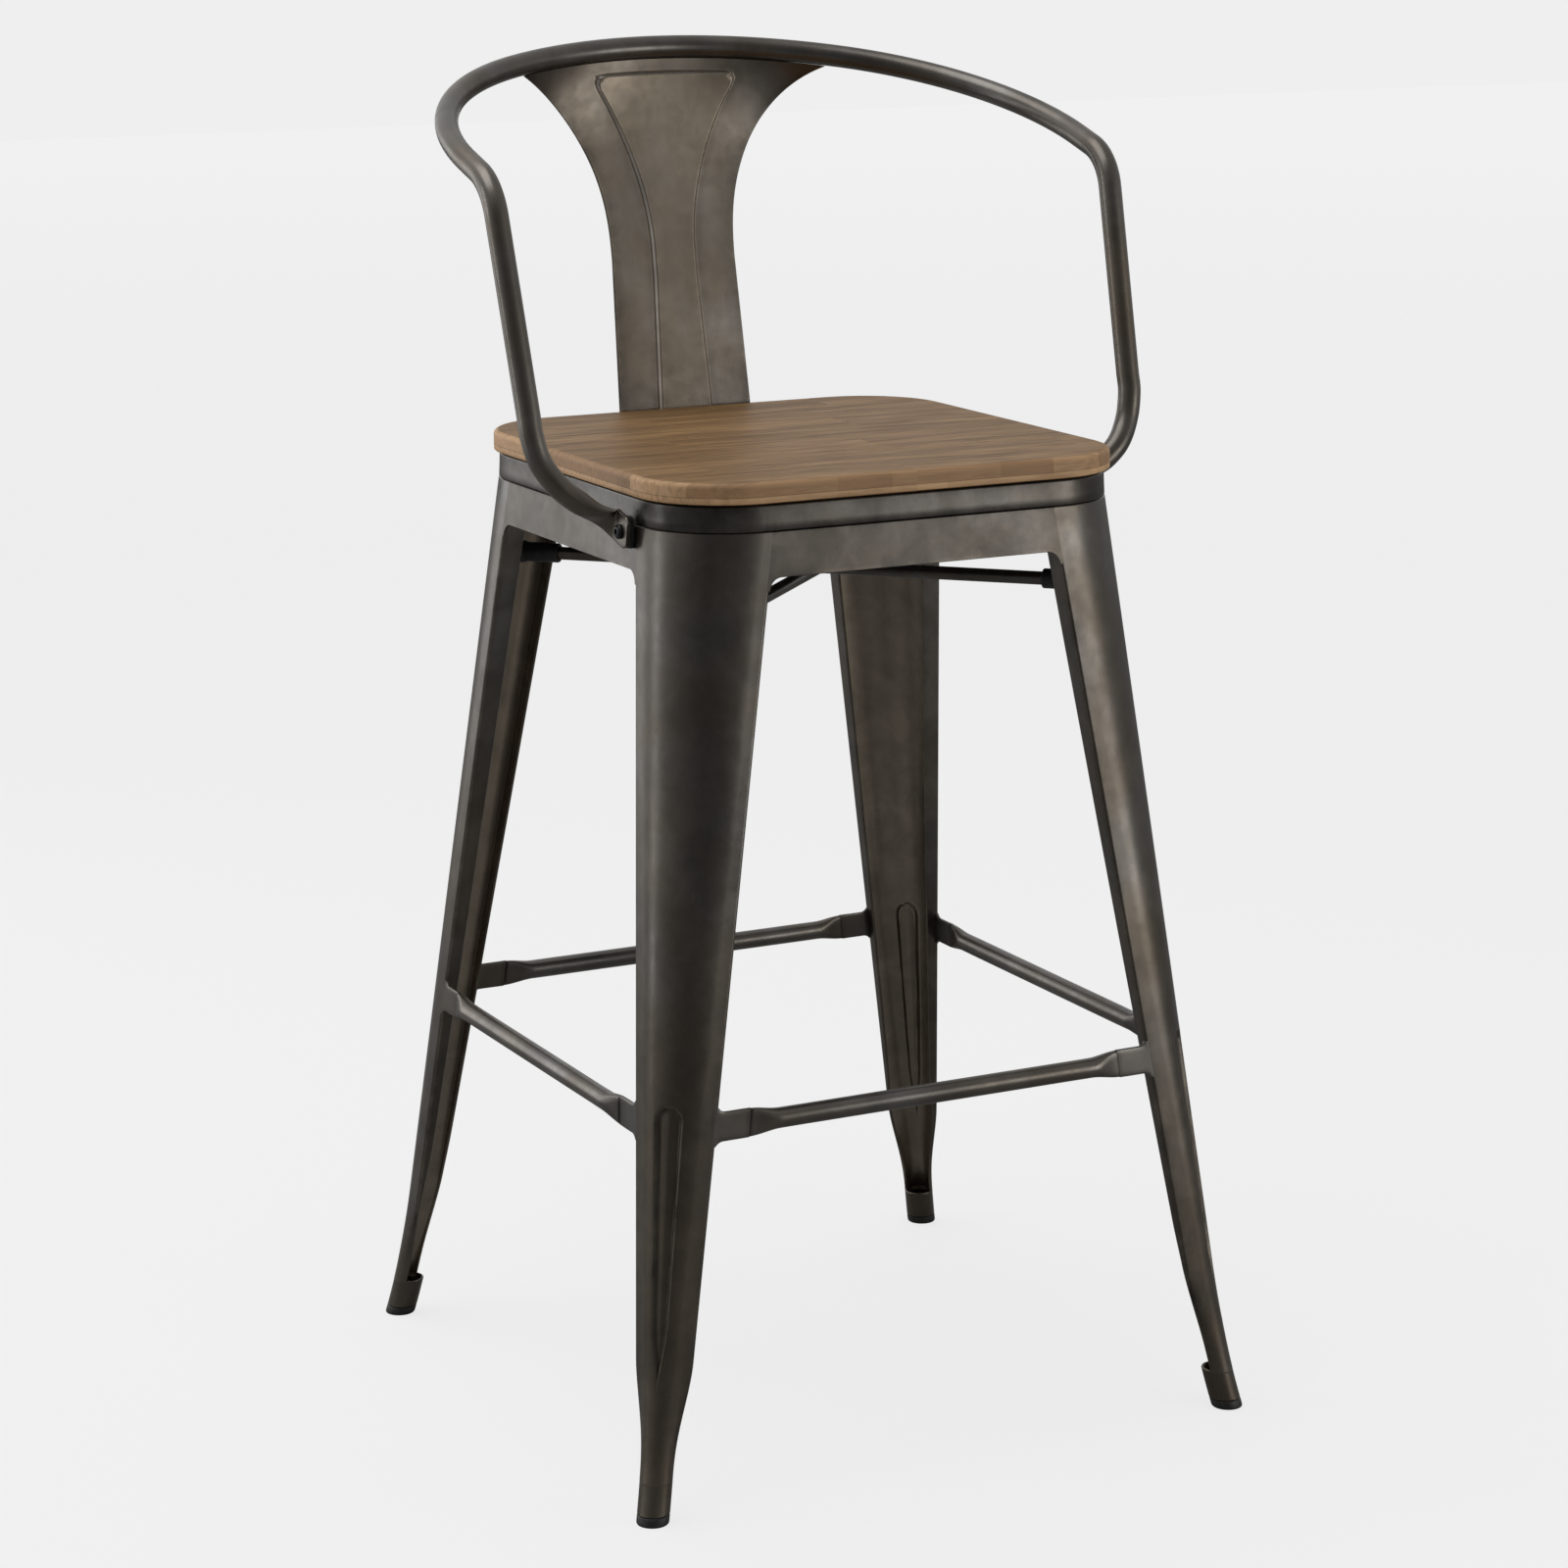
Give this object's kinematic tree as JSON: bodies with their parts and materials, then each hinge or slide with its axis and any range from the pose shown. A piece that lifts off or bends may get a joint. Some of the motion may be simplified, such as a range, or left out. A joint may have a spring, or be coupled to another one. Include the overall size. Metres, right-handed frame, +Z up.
{
  "type": "bar stool",
  "caption": "Bar stool with a square wooden seat on a pressed steel pan, splayed sheet steel legs, footrest rungs and a low bent-tube backrest with a sheet splat.",
  "frame": {"origin": "centre of the base on the floor, midway between the feet", "axes": "+Z up; the sitter faces -Y, so the backrest is on the +Y side; +X is the sitter's left-hand side seen from the front, which is the viewer's right"},
  "size_m": [0.5484, 0.5312, 1.065],
  "materials": {
    "gunmetal_steel": "satin dark bronze-grey lacquer over steel, with cloudy brown and olive tones",
    "stained_wood": "brown stain with fine straight grain, matt",
    "black_plastic": "fine texture, black",
    "black_oxide_steel": "black oxide, slightly shiny at the edges"
  },
  "bodies": {
    "root": {"apron_front": "gunmetal_steel", "apron_left": "gunmetal_steel", "apron_rear": "gunmetal_steel", "apron_right": "gunmetal_steel", "back_hoop": "gunmetal_steel", "back_splat": "gunmetal_steel", "brace_lower": "gunmetal_steel", "brace_lower_sleeve_left": "black_plastic", "brace_lower_sleeve_right": "black_plastic", "brace_upper": "gunmetal_steel", "brace_upper_sleeve_left": "black_plastic", "brace_upper_sleeve_right": "black_plastic", "foot_glide_front_left": "black_plastic", "foot_glide_front_right": "black_plastic", "foot_glide_rear_left": "black_plastic", "foot_glide_rear_right": "black_plastic", "hoop_bolt_left": "black_oxide_steel", "hoop_bolt_right": "black_oxide_steel", "hoop_nut_left": "black_oxide_steel", "hoop_nut_right": "black_oxide_steel", "hoop_pad_left": "black_plastic", "hoop_pad_right": "black_plastic", "leg_front_left": "gunmetal_steel", "leg_front_right": "gunmetal_steel", "leg_rear_left": "gunmetal_steel", "leg_rear_right": "gunmetal_steel", "rung_front": "gunmetal_steel", "rung_left": "gunmetal_steel", "rung_rear": "gunmetal_steel", "rung_right": "gunmetal_steel", "seat_pan": "gunmetal_steel", "seat_screw_front_left": "black_oxide_steel", "seat_screw_front_right": "black_oxide_steel", "seat_screw_rear_left": "black_oxide_steel", "seat_screw_rear_right": "black_oxide_steel", "splat_bolt_left": "black_oxide_steel", "splat_bolt_right": "black_oxide_steel", "splat_nut_left": "black_oxide_steel", "splat_nut_right": "black_oxide_steel", "wood_seat": "stained_wood"}
  },
  "joints": []
}
